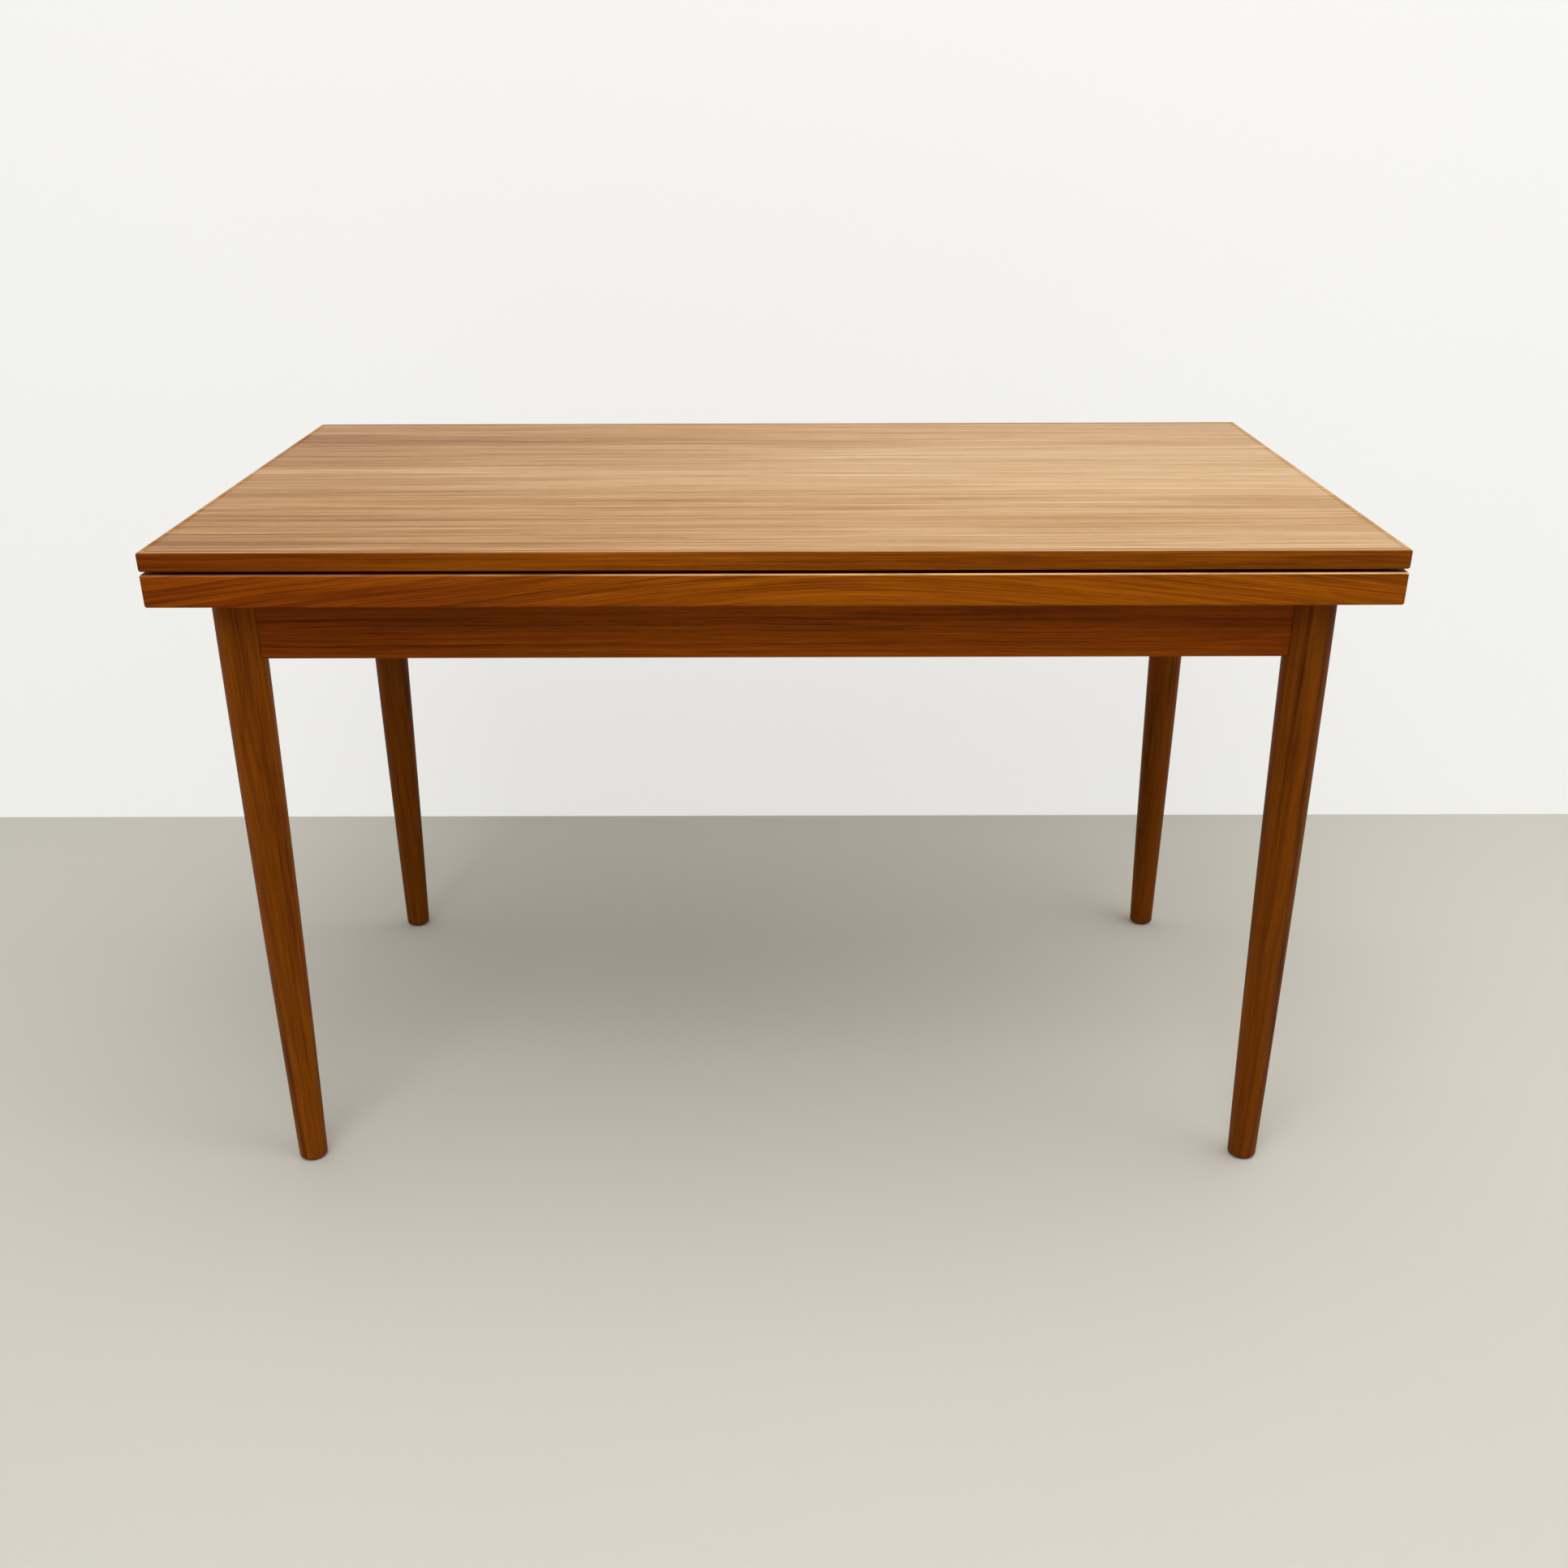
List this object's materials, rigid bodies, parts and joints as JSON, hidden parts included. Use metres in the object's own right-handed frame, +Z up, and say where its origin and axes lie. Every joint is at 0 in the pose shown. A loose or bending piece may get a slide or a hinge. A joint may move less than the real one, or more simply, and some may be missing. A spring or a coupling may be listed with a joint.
{
  "type": "extending dining table",
  "caption": "Teak dining table with round tapered legs and a loose top over a frame whose draw leaves slide out level at both ends.",
  "frame": {"origin": "floor level under the middle of the table", "axes": "+X along the length towards the right end, +Y from the front long edge to the back one, +Z up"},
  "size_m": [1.25, 0.72, 0.74],
  "materials": {
    "top_veneer": "oiled teak veneer, grain along the length",
    "top_lipping": "oiled solid teak",
    "rail_teak": "oiled teak",
    "leg_teak": "oiled turned teak",
    "apron_teak": "oiled teak",
    "leaf_veneer": "oiled teak veneer",
    "inner_beech": "plain planed beech, waxed",
    "zinc_steel": "zinc plated",
    "felt": "pressed wool felt",
    "glide_nylon": "moulded nylon"
  },
  "bodies": {
    "frame": {"apron_dowels": "inner_beech", "back_apron": "apron_teak", "back_felt_strip": "felt", "back_side_rail": "rail_teak", "bearer_screws": "zinc_steel", "centre_bearer": "inner_beech", "centre_rail": "inner_beech", "centre_rail_dowels": "inner_beech", "corner_block_back_left": "inner_beech", "corner_block_back_right": "inner_beech", "corner_block_front_left": "inner_beech", "corner_block_front_right": "inner_beech", "foot_glide_back_left": "glide_nylon", "foot_glide_back_right": "glide_nylon", "foot_glide_front_left": "glide_nylon", "foot_glide_front_right": "glide_nylon", "front_apron": "apron_teak", "front_felt_strip": "felt", "front_side_rail": "rail_teak", "hanger_bolt_nuts": "zinc_steel", "hanger_bolt_washers": "zinc_steel", "hanger_bolts": "zinc_steel", "ledge_screws": "zinc_steel", "left_apron": "apron_teak", "leg_back_left": "leg_teak", "leg_back_right": "leg_teak", "leg_front_left": "leg_teak", "leg_front_right": "leg_teak", "right_apron": "apron_teak"},
    "left_leaf": {"left_leaf_back_lipping": "leaf_veneer", "left_leaf_back_loper": "inner_beech", "left_leaf_end_lipping": "rail_teak", "left_leaf_front_lipping": "leaf_veneer", "left_leaf_front_loper": "inner_beech", "left_leaf_inner_lipping": "leaf_veneer", "left_leaf_loper_screws": "zinc_steel", "left_leaf_panel": "leaf_veneer", "left_leaf_stop_pegs": "inner_beech"},
    "right_leaf": {"right_leaf_back_lipping": "leaf_veneer", "right_leaf_back_loper": "inner_beech", "right_leaf_end_lipping": "rail_teak", "right_leaf_front_lipping": "leaf_veneer", "right_leaf_front_loper": "inner_beech", "right_leaf_inner_lipping": "leaf_veneer", "right_leaf_loper_screws": "zinc_steel", "right_leaf_panel": "leaf_veneer", "right_leaf_stop_pegs": "inner_beech"},
    "top": {"top_back_lipping": "top_lipping", "top_front_lipping": "top_lipping", "top_guide_pegs": "inner_beech", "top_left_lipping": "top_lipping", "top_panel": "top_veneer", "top_right_lipping": "top_lipping", "top_stop_screws": "zinc_steel", "top_stop_washers": "zinc_steel"}
  },
  "joints": [
    {"name": "left_leaf_draw", "type": "slide", "parent": "frame", "child": "left_leaf", "axis": [-1, 0, 0], "range_m": [0, 0.5]},
    {"name": "right_leaf_draw", "type": "slide", "parent": "frame", "child": "right_leaf", "axis": [1, 0, 0], "range_m": [0, 0.5]},
    {"name": "top_lift", "type": "slide", "parent": "frame", "child": "top", "axis": [0, 0, 1], "range_m": [0, 0.024]}
  ]
}
